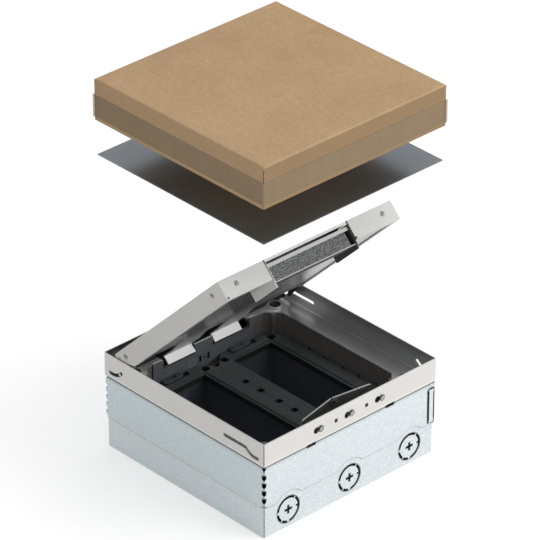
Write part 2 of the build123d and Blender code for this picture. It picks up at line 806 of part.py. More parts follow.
# Lid casing: the folded edge of the lid, open above, with the outlet gap in its front.
with BuildPart() as lid_casing:
    lid_middle = lid_rear - lid_length / 2
    with BuildSketch(lid_level(lid_under)):
        with Locations((0, lid_middle)):
            Rectangle(lid_width, lid_length)
    extrude(amount=lid_depth)
    with BuildSketch(lid_level(lid_under + lid_wall)):
        with Locations((0, lid_middle)):
            Rectangle(lid_width - 2 * lid_wall, lid_length - 2 * lid_wall)
    extrude(amount=lid_depth, mode=Mode.SUBTRACT)
    with BuildSketch(lid_level(lid_under)):
        with Locations((0, lid_middle)):
            Rectangle(lid_width - 2 * lid_flange, lid_length - 2 * lid_flange)
    extrude(amount=lid_wall, mode=Mode.SUBTRACT)
    with BuildSketch(lid_level(lid_under)):
        with Locations(((outlet_left + outlet_right) / 2, -lid_reach)):
            Rectangle(outlet_right - outlet_left, 2 * outlet_depth)
    extrude(amount=lid_depth, mode=Mode.SUBTRACT)
    with BuildSketch(lid_side(-lid_width / 2)):
        with BuildLine():
            Polyline((lid_rear - tail_length, lid_under), (lid_rear, lid_under),
                     (lid_rear, lid_under + tail_rise), close=True)
        make_face()
        with Locations((lid_rear - tail_slit / 2, lid_under + tail_rise + 2 * tail_slit_width)):
            Rectangle(tail_slit, tail_slit_width)
    extrude(amount=lid_width, mode=Mode.SUBTRACT)
    with BuildSketch(lid_front(-lid_reach)):
        for relief_x in (lid_relief_inset - lid_width / 2, outlet_right + lid_relief_inset):
            with Locations((relief_x + lid_relief / 2, lid_under + lid_relief / 2 + lid_wall)):
                Rectangle(lid_relief, lid_relief)
        for screw_x in (lid_screw_left - lid_width / 2, lid_width / 2 - lid_screw_right):
            with Locations((screw_x, lid_top - lid_screw_drop)):
                Circle(lid_screw_radius)
    extrude(amount=-lid_wall, mode=Mode.SUBTRACT)
    with BuildSketch(lid_side(-lid_width / 2)):
        for along in (lid_screw_front, lid_length - lid_screw_rear):
            with Locations((along - lid_reach, lid_top - lid_screw_side_drop)):
                Circle(lid_screw_radius)
    extrude(amount=lid_width, mode=Mode.SUBTRACT)
lid_casing.part.label = "lid_casing"
export_step(lid_casing.part, "parts/lid_casing.step")

# Covering tray: the shallow inner tray of the lid that takes the floor covering.
covering_z = lid_top - covering_depth
with BuildPart() as covering_tray:
    tray_side_x = lid_width - 2 * lid_wall - 2 * lid_fit
    tray_rear = lid_rear - lid_wall - lid_fit
    tray_front = -lid_reach + lid_wall + lid_fit
    with BuildSketch(lid_level(covering_z - lid_plate)):
        with Locations((0, (tray_rear + tray_front) / 2)):
            Rectangle(tray_side_x, tray_rear - tray_front)
    extrude(amount=lid_plate + covering_rim)
    with BuildSketch(lid_level(covering_z)):
        with Locations((0, (tray_rear + tray_front) / 2)):
            Rectangle(tray_side_x - 2 * lid_plate, tray_rear - tray_front - 2 * lid_plate)
    extrude(amount=covering_rim, mode=Mode.SUBTRACT)
    with BuildSketch(lid_level(covering_z - lid_plate)):
        with Locations(((outlet_left + outlet_right) / 2, -lid_reach)):
            outlet_gap = outlet_right - outlet_left + 2 * (cheek_wall + lid_fit)
            Rectangle(outlet_gap, 2 * (outlet_depth + lid_fit))
    extrude(amount=lid_plate + covering_rim, mode=Mode.SUBTRACT)
    with BuildSketch(lid_level(covering_z)) as outlet_rim:
        with Locations(((outlet_left + outlet_right) / 2, -lid_reach)):
            Rectangle(outlet_gap + 2 * lid_plate, 2 * (outlet_depth + lid_fit + lid_plate))
            Rectangle(outlet_gap, 2 * (outlet_depth + lid_fit), mode=Mode.SUBTRACT)
        with Locations((0, (tray_rear + tray_front) / 2)):
            Rectangle(tray_side_x, tray_rear - tray_front, mode=Mode.INTERSECT)
    extrude(amount=covering_rim)
    with BuildSketch(lid_side(-lid_width / 2)):
        with BuildLine():
            Polyline((lid_rear - tail_length - lid_wall, lid_under), (lid_rear, lid_under),
                     (lid_rear, lid_under + tail_rise + lid_wall), close=True)
        make_face()
    extrude(amount=lid_width, mode=Mode.SUBTRACT)
covering_tray.part.label = "covering_tray"
export_step(covering_tray.part, "parts/covering_tray.step")

# Base plate: the polished underside of the lid, with two tongues bent down at the hinge end.
with BuildPart() as lid_base_plate:
    base_top = lid_under + lid_wall + lid_plate
    plate_rear = lid_rear - tail_length - lid_wall
    plate_front = -lid_reach + lid_wall + lid_fit
    with BuildSketch(lid_level(lid_under + lid_wall)):
        with Locations((0, (plate_rear + plate_front) / 2)):
            Rectangle(lid_width - 2 * lid_wall - 2 * lid_fit, plate_rear - plate_front)
        with Locations(((outlet_left + outlet_right) / 2, -lid_reach)):
            Rectangle(outlet_gap, 2 * (outlet_depth + lid_fit), mode=Mode.SUBTRACT)
    extrude(amount=lid_plate)
    for tongue_x in (-tongue_inner_left - tongue_width, tongue_inner_right):
        with BuildSketch(lid_side(tongue_x)):
            with BuildLine():
                root = plate_rear - lid_plate
                bend = lid_rear - tongue_bend
                arm_top = base_top - tongue_joggle
                lip_low = arm_top - lid_plate - tongue_lip
                Polyline((root, base_top), (bend, arm_top), (tongue_reach, arm_top), (tongue_reach, lip_low),
                         (tongue_reach - lid_plate, lip_low), (tongue_reach - lid_plate, arm_top - lid_plate),
                         (bend, arm_top - lid_plate), (root, base_top - lid_plate), close=True)
            make_face()
        extrude(amount=tongue_width)
lid_base_plate.part.label = "lid_base_plate"
export_step(lid_base_plate.part, "parts/lid_base_plate.step")

# Hinge ears inside the lid's side walls, each with the pin that rides in the frame's slot.
rest_pin = radians(pin_angle + lid_angle)
pin_y = pin_arm * cos(rest_pin)
pin_z = pin_arm * sin(rest_pin)
for side, place in support_names.items():
    ear_x = side * (lid_width / 2 - lid_wall)
    with BuildPart() as hinge_ear:
        with BuildSketch(lid_side(ear_x)) as ear:
            with BuildLine():
                Polyline((lid_rear - tail_length - ear_reach, base_top),
                         (lid_rear - tail_length - ear_reach, covering_z - lid_plate),
                         (lid_rear - lid_fit, covering_z - lid_plate), (pin_y + ear_boss, pin_z),
                         (pin_y, pin_z - ear_boss), (lid_rear - tail_length, base_top), close=True)
            make_face()
        extrude(amount=-side * ear_thickness)
        with BuildSketch(lid_side(ear_x - side * ear_thickness)):
            with Locations((pin_y, pin_z)):
                Circle(pin_radius)
        extrude(amount=side * (frame_side / 2 - abs(ear_x) + ear_thickness - stud_fit))
    hinge_ear.part.label = f"hinge_ear_{place}"
    export_step(hinge_ear.part, f"parts/hinge_ear_{place}.step")

# Lid screws in the casing's front and side walls.
with BuildPart() as lid_screws:
    seats = [(lid_front(-lid_reach), x, lid_top - lid_screw_drop, -1)
             for x in (lid_screw_left - lid_width / 2, lid_width / 2 - lid_screw_right)]
    for side in (-1, 1):
        for along in (lid_screw_front, lid_length - lid_screw_rear):
            seats.append((lid_side(side * lid_width / 2), along - lid_reach, lid_top - lid_screw_side_drop, -side))
    for plane, seat_x, seat_y, inward in seats:
        sunk = plane.offset(inward * lid_screw_sunk)
        with BuildSketch(sunk):
            with Locations((seat_x, seat_y)):
                Circle(lid_screw_radius - lid_screw_gap)
        extrude(amount=inward * (lid_wall + lid_fit - lid_screw_sunk))
        with BuildSketch(sunk):
            with Locations((seat_x, seat_y)):
                Rectangle(2 * lid_screw_radius, lid_screw_slot, rotation=45)
        extrude(amount=inward * lid_screw_sunk, mode=Mode.SUBTRACT)
lid_screws.part.label = "lid_screws"
export_step(lid_screws.part, "parts/lid_screws.step")

# Outlet cheeks: upright plates at both ends of the cord outlet, bored for the flap's pins.
axis_y = -lid_reach + outlet_axis_back
axis_z = lid_top - outlet_axis_drop
for side, place in support_names.items():
    cheek_face = outlet_left if side < 0 else outlet_right
    with BuildPart() as outlet_cheek:
        with BuildSketch(lid_side(cheek_face)):
            cheek_top = lid_top - flap_thickness - flap_gap
            cheek_low = lid_top - cheek_drop
            cheek_step = lid_top - cheek_step_drop
            with BuildLine():
                Polyline((-lid_reach + cheek_front, cheek_top), (-lid_reach + outlet_depth, cheek_top),
                         (-lid_reach + outlet_depth, cheek_low), (-lid_reach + cheek_setback, cheek_low),
                         (-lid_reach + cheek_setback, cheek_step), (-lid_reach + cheek_front, cheek_step),
                         close=True)
            make_face()
            with Locations((axis_y, axis_z)):
                Circle(outlet_pin_radius + outlet_pin_fit, mode=Mode.SUBTRACT)
        extrude(amount=-side * cheek_wall)
    outlet_cheek.part.label = f"outlet_cheek_{place}"
    export_step(outlet_cheek.part, f"parts/outlet_cheek_{place}.step")

# Outlet frame: bar, sill and back that hold the foam, and two arms with the flap's hinge pins.
frame_left = outlet_left + cheek_wall + lid_fit
frame_right = outlet_right - cheek_wall - lid_fit
frame_middle = (frame_left + frame_right) / 2
bar_z = lid_top - bar_top_drop - bar_height / 2
sill_z = lid_top - bar_top_drop - bar_height - foam_height - sill_height / 2
with BuildPart() as outlet_frame:
    with BuildSketch(lid_front(-lid_reach + cheek_setback)):
        for strip_z, strip_height in ((bar_z, bar_height), (sill_z, sill_height)):
            with Locations((frame_middle, strip_z)):
                Rectangle(frame_right - frame_left, strip_height)
    extrude(amount=-bar_depth)
    with BuildSketch(lid_front(-lid_reach + cheek_setback + bar_depth)):
        with Locations((frame_middle, (bar_z + sill_z) / 2)):
            Rectangle(frame_right - frame_left, bar_z - sill_z + (bar_height + sill_height) / 2)
    extrude(amount=-cheek_wall)
    for side, arm_x in ((-1, frame_left), (1, frame_right)):
        with BuildSketch(lid_side(arm_x)):
            with BuildLine():
                arm_start = -lid_reach + cheek_setback + bar_depth
                arm_top = lid_top - flap_thickness
                Polyline((arm_start, arm_top), (axis_y, arm_top), (axis_y + arm_boss, axis_z),
                         (axis_y, axis_z - arm_boss), (arm_start, axis_z - arm_boss), close=True)
            make_face()
        extrude(amount=-side * arm_thickness)
        with BuildSketch(lid_side(arm_x)):
            with Locations((axis_y, axis_z)):
                Circle(outlet_pin_radius)
        extrude(amount=side * (lid_fit + cheek_wall))
outlet_frame.part.label = "outlet_frame"
export_step(outlet_frame.part, "parts/outlet_frame.step")

# Foam seal that closes the outlet round the cords.
with BuildPart() as outlet_foam:
    foam_z = lid_top - bar_top_drop - bar_height - foam_height / 2
    with BuildSketch(lid_front(-lid_reach + cheek_setback)):
        with Locations(((foam_left + foam_right) / 2, foam_z)):
            Rectangle(foam_right - foam_left, foam_height)
    extrude(amount=-bar_depth)
outlet_foam.part.label = "outlet_foam"
export_step(outlet_foam.part, "parts/outlet_foam.step")

# Outlet flap: strip over the outlet, flush with the top of the lid and fixed to the arms.
with BuildPart() as outlet_flap:
    with BuildSketch(lid_side(outlet_left + flap_gap)):
        with Locations((-lid_reach + flap_length / 2, lid_top - flap_thickness / 2)):
            Rectangle(flap_length, flap_thickness)
    extrude(amount=outlet_right - outlet_left - 2 * flap_gap)
outlet_flap.part.label = "outlet_flap"
export_step(outlet_flap.part, "parts/outlet_flap.step")

# Protection sheet: loose steel plate that lies on the frame while the floor is laid.
with BuildPart() as protection_sheet:
    with BuildSketch(level(total_height + sheet_lift)):
        Rectangle(sheet_side, sheet_side)
    extrude(amount=sheet_thickness)
protection_sheet.part.label = "protection_sheet"
export_step(protection_sheet.part, "parts/protection_sheet.step")

# Cardboard cover: folded tray, open below, with slit corners and rounded top folds.
cover_bottom = total_height + cover_lift
with BuildPart() as cardboard_cover:
    with BuildSketch(level(cover_bottom)):
        Rectangle(cover_side, cover_side)
    extrude(amount=cover_height)
    fillet(cardboard_cover.edges().group_by(Axis.Z)[-1], cover_fold)
    with BuildSketch(level(cover_bottom)):
        Rectangle(cover_side - 2 * cover_board, cover_side - 2 * cover_board)
    extrude(amount=cover_height - cover_board, mode=Mode.SUBTRACT)
    with BuildSketch(level(cover_bottom)):
        for turn in (45, -45):
            Rectangle(2 * cover_side, cover_slit, rotation=turn)
        Rectangle(cover_side - 4 * cover_board, cover_side - 4 * cover_board, mode=Mode.SUBTRACT)
    extrude(amount=cover_height - cover_board - cover_fold, mode=Mode.SUBTRACT)
cardboard_cover.part.label = "cardboard_cover"
export_step(cardboard_cover.part, "parts/cardboard_cover.step")

# Tape: a band round the cardboard that stands off a little at the corners.
with BuildPart() as cover_tape:
    with BuildSketch(level(cover_bottom + tape_bottom_rise)):
        Rectangle(cover_side + 2 * tape_thickness, cover_side + 2 * tape_thickness)
        with corner_points(cover_side):
            Circle(tape_corner)
        Rectangle(cover_side, cover_side, mode=Mode.SUBTRACT)
    extrude(amount=cover_height - tape_top_drop - tape_bottom_rise)
cover_tape.part.label = "cover_tape"
export_step(cover_tape.part, "parts/cover_tape.step")
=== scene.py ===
# %% [markdown]
# # A floor socket box, dressed in Blender
# The solids of this box come from the CAD model, at their real size and place. This lesson
# gives every one of them a surface of its own, makes the soft foam of the cord outlet, which
# a plain solid can't show, and lights the whole like a studio picture of a product. The CAD
# model is loaded first, because everything else is measured from it.

import json
import math

import bmesh
import bpy
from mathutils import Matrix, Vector


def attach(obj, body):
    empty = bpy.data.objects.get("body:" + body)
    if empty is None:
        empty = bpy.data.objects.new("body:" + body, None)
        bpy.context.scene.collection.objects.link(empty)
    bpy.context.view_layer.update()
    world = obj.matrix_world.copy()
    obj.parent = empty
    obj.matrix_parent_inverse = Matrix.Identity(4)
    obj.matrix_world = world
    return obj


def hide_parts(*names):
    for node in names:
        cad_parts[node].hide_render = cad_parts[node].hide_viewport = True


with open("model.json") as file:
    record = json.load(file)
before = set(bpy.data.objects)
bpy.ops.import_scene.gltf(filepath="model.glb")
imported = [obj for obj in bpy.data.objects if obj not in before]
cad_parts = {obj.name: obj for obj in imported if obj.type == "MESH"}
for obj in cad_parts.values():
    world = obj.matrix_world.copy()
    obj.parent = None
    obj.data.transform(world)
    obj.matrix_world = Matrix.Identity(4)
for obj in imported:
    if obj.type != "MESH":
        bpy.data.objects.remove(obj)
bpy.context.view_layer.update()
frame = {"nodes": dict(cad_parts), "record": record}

# %% [markdown]
# ## The camera
# The picture looks down on one corner of the box through a long lens, so upright edges stay
# nearly parallel. The camera stands 4.6 m away, 43 degrees round from the front wall and 31
# degrees above the floor. It looks at a point on the box's middle axis, about half way up
# the stack of box, lid, sheet and cover.

# %% Set up the camera
look_at = Vector((0, 0, 0.21606))
turn, rise, distance = math.radians(-42.976), math.radians(30.708), 4.6193
back = Vector((math.sin(turn) * math.cos(rise), -math.cos(turn) * math.cos(rise), math.sin(rise)))

camera_data = bpy.data.cameras.new("studio_camera")
camera_data.lens = 301.68
camera_data.sensor_width = 36
camera_data.clip_end = 50
camera = bpy.data.objects.new("studio_camera", camera_data)
bpy.context.scene.collection.objects.link(camera)
camera.location = look_at + back * distance
camera.rotation_euler = back.to_track_quat("Z", "Y").to_euler()
bpy.context.scene.camera = camera
bpy.context.scene.view_settings.view_transform = "Standard"
print("camera at", [round(v, 3) for v in camera.location])

# %% [markdown]
# ## The lamps
# The picture has a white ground and soft light from all sides. A world of plain light, made
# at the end, does much of the work. Three large square lamps model the shape: one at the
# front right lights the front wall, one above lights the cardboard and the ledges, and a weak
# one fills the left wall. They are large because a large lamp gives a shadow a soft edge.

# %% Make the lamps
lit_point = Vector((0, 0, 0.2))


def soft_lamp(name, place, size, watts):
    """A square area lamp at a place, turned to shine on the middle of the object."""
    data = bpy.data.lights.new(name, "AREA")
    data.size, data.energy = size, watts
    lamp = bpy.data.objects.new(name, data)
    bpy.context.scene.collection.objects.link(lamp)
    lamp.location = place
    lamp.rotation_euler = (Vector(place) - lit_point).to_track_quat("Z", "Y").to_euler()
    print(name, "shines with", watts, "W")


soft_lamp("key_lamp", (1.5, -2.3, 0.75), 2.4, 47)
soft_lamp("left_lamp", (-2.4, -0.6, 1.0), 2.2, 2)
soft_lamp("top_lamp", (0.2, -0.1, 2.7), 2.0, 33)

# %% [markdown]
# ## Shader maths as Python
# A material is a graph of nodes. Written out node by node it is long and hard to read, so a
# small class wraps one output socket and gives it the usual operators. An expression such as
# 0.3 + 0.2 * grain then adds its own Math nodes. Every other node comes from one method,
# which takes the type, the settings and the values or links of its sockets.

# %% Wrap a socket
class Wire:
    """One output socket of a node, with arithmetic that adds Math nodes."""

    def __init__(self, made, socket):
        self.made, self.socket = made, socket

    def beside(self, output):
        """Another output of the same node."""
        return Wire(self.made, self.socket.node.outputs[output])

    def maths(self, operation, *values):
        return self.made.node("ShaderNodeMath", {"operation": operation}, *values)

    def clamped(self):
        return self.made.node("ShaderNodeClamp", None, self)

    def __add__(self, other):
        return self.maths("ADD", self, other)

    def __radd__(self, other):
        return self.maths("ADD", other, self)

    def __sub__(self, other):
        return self.maths("SUBTRACT", self, other)

    def __rsub__(self, other):
        return self.maths("SUBTRACT", other, self)

    def __mul__(self, other):
        return self.maths("MULTIPLY", self, other)

    def __rmul__(self, other):
        return self.maths("MULTIPLY", other, self)

    def __truediv__(self, other):
        return self.maths("DIVIDE", self, other)

    def __abs__(self):
        return self.maths("ABSOLUTE", self)

    def __gt__(self, other):
        return self.maths("GREATER_THAN", self, other)

    def __lt__(self, other):
        return self.maths("LESS_THAN", self, other)


class Finish:
    """A node tree that is filled by expressions."""

    def __init__(self, tree):
        self.tree = tree

    def node(self, kind, settings=None, *values, at=None, out=0, **named):
        """Adds a node, sets its settings, then fills its sockets with values or links. Sockets
        are given in their order, by number in at, or by name with _ in place of a space."""
        added = self.tree.nodes.new(kind)
        for setting, value in (settings or {}).items():
            setattr(added, setting, value)
        by_name = {key.replace("_", " "): value for key, value in named.items()}
        for key, value in {**dict(enumerate(values)), **(at or {}), **by_name}.items():
            socket = added.inputs[key]
            if isinstance(value, Wire):
                self.tree.links.new(value.socket, socket)
            elif value is not None:
                socket.default_value = (*value, 1) if socket.type == "RGBA" else value
        return Wire(self, added.outputs[out]) if added.outputs else None


print("Wire and Finish ready")

# %% [markdown]
# ## From a pattern to a material
# All surfaces here are one Principled shader each. What changes over the surface, such as the
# colour, is an expression, and what is the same all over is a plain number. A material is
# started empty, filled, and then closed, which adds the shader and the output.

# %% Start and close a finish
finishes = {}


def start_finish(name):
    """A new material and the Finish that fills it."""
    material = bpy.data.materials.new(name)
    material.use_nodes = True
    material.node_tree.nodes.clear()
    finishes[name] = material
    return Finish(material.node_tree)


def close_finish(made, colour, rough, bump=None, **constants):
    """Feeds the patterns and the plain numbers to one Principled shader."""
    shader = made.node("ShaderNodeBsdfPrincipled", None,
                       Base_Color=colour, Roughness=rough, Normal=bump, **constants)
    made.node("ShaderNodeOutputMaterial", None, shader)
    print("finish", len(finishes), "is", list(finishes)[-1])


# %% [markdown]
# ## Patterns
# Almost every surface starts as noise that shifts between two tones. The noise reads Object
# coordinates, which are metres on the piece itself, so a grain has its real size and moves
# with the piece. The same coordinates, taken apart into x, y and z, say where a point lies.

# %% Noise, tones and places
def mix_tones(made, mask, dark, light):
    """A Mix node in its colour mode, whose colour sockets are reached by number."""
    return made.node("ShaderNodeMix", {"data_type": "RGBA"}, mask, at={6: dark, 7: light}, out=2)


def grain(made, scale, detail, stretch=(1, 1, 1), rough=0.55):
    """Fine noise from 0 to 1. A larger number in stretch packs it closer along that axis."""
    place = made.node("ShaderNodeTexCoord", out="Object")
    drawn = made.node("ShaderNodeMapping", None, place, Scale=stretch)
    return made.node("ShaderNodeTexNoise", None, drawn, Scale=scale, Detail=detail, Roughness=rough)


def spot(made):
    """The place on the surface in metres, as three wires: x, y and z."""
    place = made.node("ShaderNodeTexCoord", out="Object")
    along_x = made.node("ShaderNodeSeparateXYZ", None, place)
    return along_x, along_x.beside("Y"), along_x.beside("Z")


def relief(made, height, strength, depth):
    """A Bump node for a height from 0 to 1 and a depth in metres."""
    return made.node("ShaderNodeBump", None, Strength=strength, Distance=depth, Height=height)


def larger(one, other):
    """The larger of two values, which also joins two masks."""
    return one.maths("MAXIMUM", one, other)


def from_row(along, pitch):
    """The distance along a row of like features, from the nearest of them."""
    return along - pitch * along.maths("ROUND", along / pitch)


def disc(across, up, radius):
    """A mask that is 1 inside a circle about the point where both distances are zero."""
    return across * across + up * up < radius * radius


print("patterns ready")

# %% [markdown]
# ## Patches
# Many pieces have a region with a tone of its own, and many of them are painted light: painted
# shade along a sheared edge or in a hollow behind a slot, a painted highlight on a lip. It could
# be a second material on chosen faces. Here it is a patch: a rule that picks the region by its
# place, the tone it gets, and how much of it. The grain below still shows through a patch that
# isn't whole. The rules are written in metres, in the same frame as the CAD model, and they
# stay on the piece when its body moves.

# %% Rules and patches
def nearer(reach):
    """A rule for all that lies nearer to the middle axis than a distance."""
    return lambda x, y, z: larger(abs(x), abs(y)) < reach


def farther(reach):
    """A rule for all that lies farther from the middle axis than a distance."""
    return lambda x, y, z: larger(abs(x), abs(y)) > reach


def below(height):
    """A rule for all that lies lower than a height."""
    return lambda x, y, z: z < height


def above(height):
    """A rule for all that lies higher than a height."""
    return lambda x, y, z: z > height


def band(height, half):
    """A rule for a level band, with half of its width on each side of a height."""
    return lambda x, y, z: abs(z - height) < half


def both(first, second):
    """A rule for what lies in two regions at once."""
    return lambda x, y, z: first(x, y, z) * second(x, y, z)


def outside(middle, half):
    """A rule for what is not within a half width of a middle, left or right of the centre."""
    return lambda x, y, z: abs(abs(x) - middle) > half


def lay_patches(made, colour, patches):
    """Lays each patch over a colour, the later ones on top."""
    here = spot(made)
    for rule, tone, share in patches:
        colour = mix_tones(made, share * rule(*here), colour, tone)
    return colour


# Tones for painted shade and for painted highlights on edges.
deep_shade, shade = (0.006, 0.006, 0.007), (0.035, 0.037, 0.040)
edge_highlight = (0.95, 0.95, 0.93)
print("patches ready")

# %% [markdown]
# ## Places on the tilted lid
# The lid stands open by 44.7 degrees, so its features don't line up with the axes. Two rules
# turn a point into the lid's own distances: down along it from the hinge, and up from it.

# %% Measure along the lid
lid_tilt, lid_axis_y, lid_axis_z = math.radians(44.7), 0.1084, 0.1116


def down_lid(x, y, z):
    """The distance from the hinge axis towards the lid's front edge, along the tilted lid."""
    return (z - lid_axis_z) * math.sin(lid_tilt) - (y - lid_axis_y) * math.cos(lid_tilt)


def up_lid(x, y, z):
    """The height above the hinge axis, square to the tilted lid."""
    return (y - lid_axis_y) * math.sin(lid_tilt) + (z - lid_axis_z) * math.cos(lid_tilt)


print("lid tilted by", round(math.degrees(lid_tilt), 1), "degrees")

# %% [markdown]
# ## Galvanised steel
# Sheet from a zinc bath is bluish grey with a fine sparkle. Seen from arm's length it looks
# nearly even, so a small Voronoi texture and a noise only shift its tone a little. The walls
# beside and behind the front one get a paler, bluer tone of painted light and a few darker
# crystals of painted shade, for the way the light falls on them. The box is a hollow with
# slots in it, and what shows through them is in shade, so everything nearer to the middle axis
# than the outer surface gets painted shade. The collar's sheared edges, the arcs round its
# knockouts, its top under the frame, a line along its hem and the slit beside its clip get
# painted shade too, and so do the rings and crosses of the box's knockouts.

# %% Places on the box and its collar
box_front, collar_front = 0.1190, 0.1205  # half a millimetre behind the face of each front wall
knockout_pitch, knockout_height = 0.086, 0.0205
arc_radius, ring_shade_outer, ring_shade_inner = 0.0235, 0.0164, 0.0149
cross_long, cross_wide = 0.0052, 0.0016
clip_left, clip_middle, clip_right, clip_height = 0.1107, 0.1145, 0.1182, 0.0592


def at_knockout(x, z):
    """The distances across and up from the middle of the nearest knockout."""
    return from_row(x, knockout_pitch), z - knockout_height


def knockout_arc_shade(x, y, z):
    """Painted shade on the cut edges of the collar's arcs round the three knockouts."""
    return disc(*at_knockout(x, z), arc_radius) * (y < -collar_front)


def knockout_crosses(x, y, z):
    """The shade round the cross-shaped slot in the middle of each knockout."""
    across, up = [abs(side) for side in at_knockout(x, z)]
    level = (across < cross_long) * (up < cross_wide)
    upright = (across < cross_wide) * (up < cross_long)
    return larger(level, upright) * (y < -box_front)


def knockout_ring_shade(x, y, z):
    """Painted shade along the ring of slots round each knockout, which makes the slots read wider
    and darker.
    """
    across, up = at_knockout(x, z)
    return (disc(across, up, ring_shade_outer) - disc(across, up, ring_shade_inner)) * (y < -box_front)


def clip_slit_shade(x, y, z):
    """Painted shade in and along the slit round the clip at the right of the collar's front wall.
    """
    up = abs(z - clip_height)
    sides = larger(abs(x - clip_left) < 0.0009, abs(x - clip_right) < 0.0006) * (up < 0.0212)
    ends = (abs(up - 0.0208) < 0.0006) * (abs(x - clip_middle) < 0.0040)
    return larger(sides, ends) * (y < -collar_front)


def side_walls(x, y, z):
    """All outer walls but the front one, where painted light and shade stand in for how the light
    falls on them.
    """
    return y > -box_front


def side_grains(x, y, z):
    """Painted shade: darker crystals on the side walls only, where the weaker light shows them."""
    return side_walls(x, y, z) * (6.0 * grain(x.made, 750.0, 3.0) - 2.9).clamped()


# Painted shade: behind the outer walls where the slots show through, and on the collar its sheared
# foot, its top under the frame and a line along its hem.
box_hollow_shade, collar_hollow_shade = both(nearer(0.1193), above(0.0006)), nearer(0.1208)
collar_foot_shade, collar_top_shade, collar_hem_shade = below(0.0365), above(0.0846), band(0.0831, 0.00025)
print("knockouts every", knockout_pitch, "m")

# %% Finish: galvanised steel
def galvanised(name, dark, light, patches=()):
    """Zinc-coated sheet: crystals of zinc 1.4 mm across, and a finer sparkle over them."""
    made = start_finish(name)
    place = made.node("ShaderNodeTexCoord", out="Object")
    cells = made.node("ShaderNodeTexVoronoi", None, place, Scale=700.0, out="Color")
    crystal = made.node("ShaderNodeSeparateColor", None, cells)
    sparkle = grain(made, 800.0, 2.0)
    mask = (0.4 * crystal + 2.2 * sparkle - 0.8).clamped()
    colour = lay_patches(made, mix_tones(made, mask, dark, light), patches)
    close_finish(made, colour, 0.38 + 0.14 * crystal, relief(made, crystal, 0.05, 0.0004),
                 Metallic=0.35)


# The third tone here is painted shade, and the two side tones on the next line are painted light
# for the walls beside and behind the front one.
zinc_dark, zinc_light, zinc_shade = (0.675, 0.735, 0.77), (0.92, 0.965, 0.98), (0.42, 0.45, 0.47)
box_side_light, collar_side_light = (0.89, 0.98, 1.0), (0.80, 0.97, 1.0)
galvanised("galvanised_steel", zinc_dark, zinc_light, [
    (side_walls, box_side_light, 0.75), (side_grains, zinc_shade, 0.3), (box_hollow_shade, deep_shade, 0.95),
    (knockout_crosses, deep_shade, 0.9), (knockout_ring_shade, deep_shade, 0.6)])
galvanised("collar_steel", zinc_dark, zinc_light, [
    (side_walls, collar_side_light, 0.35), (side_grains, zinc_shade, 0.35), (collar_foot_shade, zinc_shade, 1.0),
    (knockout_arc_shade, zinc_shade, 1.0), (collar_top_shade, shade, 0.4), (collar_hem_shade, shade, 0.45),
    (clip_slit_shade, deep_shade, 0.95), (collar_hollow_shade, deep_shade, 0.95)])
galvanised("tray_steel", (0.50, 0.53, 0.56), (0.72, 0.75, 0.77))

# %% [markdown]
# ## Stainless steel
# The frame and the lid's edge are rolled stainless sheet. It is smoother and a little warmer
# than the zinc, with a very fine grain along the roll. The grain is a noise that is packed
# closer along Z, so it lies level on every wall. A region of a piece may also be smoother or
# more metallic than the rest: the inner walls of the frame are bare polished metal that
# mirrors the dark inside of the box, and its outer walls are brushed. The lid's base plate is
# polished, but duller near the hinge, where its two tongues bend down and painted shade darkens
# it. Painted highlights run along the frame's folds, the tongues and their lips, and painted
# shade fills the frame's slots, holes and notches, its hem, the strip behind the lid, the
# lid's heel, its slits and the underside of the outlet flap. The guides and the hinge ears are
# dark with painted shade and have painted highlights on their edges and ends.

# %% Places on the frame and the lid
notch_middle, notch_half = 0.0555, 0.00625
pilot_middle, pilot_height, pilot_half = 0.0215, 0.1000, 0.0021
outlet_middle, outlet_half = -0.0005, 0.0576
left_tongue, right_tongue, tongue_half = -0.0380, 0.0278, 0.0192
fade = 28.0  # a fade from 1 to 0 over 36 mm
inner_side = nearer(0.1206)


def inner_fold(x, y, z):
    """The fold where the ledge meets the frame's inner walls, where a painted highlight runs."""
    return (abs(larger(abs(x), abs(y)) - 0.1198) < 0.0006) * (z < 0.0884)


def behind_lid(x, y, z):
    """The strip of ledge and the inner wall behind the lid's hinge, which is always in shade."""
    return (y > 0.1065) * inner_side(x, y, z)


def groove_end_shade(x, y, z):
    """Painted shade on the frame's lower edge above the two open notches of the groove."""
    return (abs(abs(x) - notch_middle) < notch_half) * (z < 0.0876) * (y < -0.1205)


def pilot_hole_shade(x, y, z):
    """Painted shade in and round the small square holes between the keyholes, at their sheared
    edges.
    """
    across = abs(abs(x) - pilot_middle) < pilot_half
    return across * (abs(z - pilot_height) < pilot_half) * (y < -0.1205)


def outlet_slit_shade(x, y, z):
    """Painted shade in the slits where the lid's front edge ends beside the cord outlet."""
    return (abs(abs(x - outlet_middle) - outlet_half) < 0.0006) * (down_lid(x, y, z) > 0.2262)


def flap_underside_shade(x, y, z):
    """Painted shade on the outlet flap below its top sheet and behind its front edge."""
    return (up_lid(x, y, z) < -0.0002) * (down_lid(x, y, z) < 0.2272)


def near_hinge(x, y, z):
    """From 1 at the base plate's tongues to 0 at 46 mm above the hinge."""
    return ((0.158 - z) * fade).clamped()


def tongue_arms(x, y, z):
    """The two tongues and the plate just above them, where a painted highlight fades with the
    height.
    """
    tongues = larger(abs(x - left_tongue) < tongue_half, abs(x - right_tongue) < tongue_half)
    return tongues * ((0.140 - z) * fade).clamped()


def screw_shank_shade(x, y, z):
    """Painted shade on the lid screws behind their heads, in the dark of the lid."""
    return (abs(x) < 0.1189) * (down_lid(x, y, z) < 0.2271)


